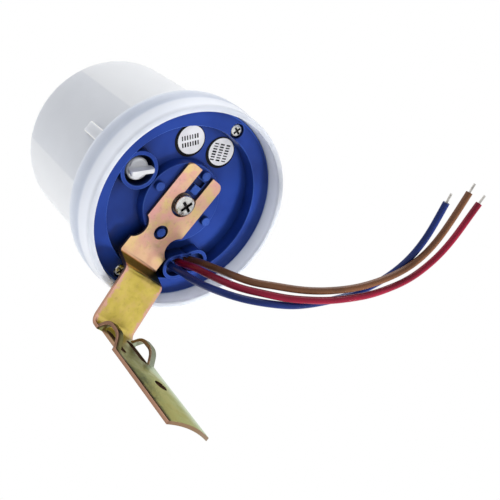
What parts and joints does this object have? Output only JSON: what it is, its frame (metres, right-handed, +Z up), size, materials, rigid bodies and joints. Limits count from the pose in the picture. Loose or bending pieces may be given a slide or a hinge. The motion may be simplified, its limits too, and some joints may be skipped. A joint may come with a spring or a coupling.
{
  "type": "photocell switch",
  "caption": "Dusk-to-dawn photocell switch: frosted round cover on a blue base with a sensitivity knob, three flying leads and a folded steel hanging bracket.",
  "frame": {"origin": "centre of the bracket leg's screw hole, on the face towards the wall or pole", "axes": "+Z up along the cover's axis, as installed, +Y towards the wall or pole, X across the bracket"},
  "size_m": [0.1062, 0.1131, 0.122],
  "materials": {
    "cover_plastic": "frosted white",
    "base_plastic": "satin moulded",
    "knob_plastic": "glossy",
    "bracket_steel": "yellow zinc plating",
    "screw_steel": "bright zinc plating",
    "label_paper": "coated paper",
    "lead_blue": "PVC",
    "lead_red": "PVC",
    "lead_brown": "PVC",
    "strand_wire": "tinned",
    "board_laminate": "solder mask",
    "dark_case": "moulded",
    "film_case": "dipped",
    "sensor_cell": "glossy",
    "trimmer_case": "moulded",
    "resistor_body": "lacquered"
  },
  "bodies": {
    "housing": {"cover": "cover_plastic", "base": "base_plastic", "bracket_arm": "bracket_steel", "bracket_leg": "bracket_steel", "bracket_screw": "screw_steel", "lock_washer": "screw_steel", "flat_washer": "screw_steel", "bracket_nut": "screw_steel", "base_screws": "screw_steel", "inspection_labels": "label_paper", "lead_blue": "lead_blue", "lead_red": "lead_red", "lead_brown": "lead_brown", "strands_blue": "strand_wire", "strands_red": "strand_wire", "strands_brown": "strand_wire", "lead_tails": "lead_brown", "circuit_board": "board_laminate", "board_screws": "screw_steel", "relay": "dark_case", "film_capacitor": "film_case", "filter_capacitor": "dark_case", "light_sensor": "sensor_cell", "potentiometer": "trimmer_case", "rectifier_diodes": "dark_case", "zener_diode": "sensor_cell", "transistor": "dark_case", "resistors": "resistor_body", "varistor": "trimmer_case"},
    "knob": {"sensitivity_knob": "knob_plastic"}
  },
  "joints": [
    {"name": "knob_turn", "type": "hinge", "parent": "housing", "child": "knob", "pos_m": [-0.02135, -0.044, 0.0435], "axis": [0, 0, 1], "range_deg": [-135, 135]}
  ]
}
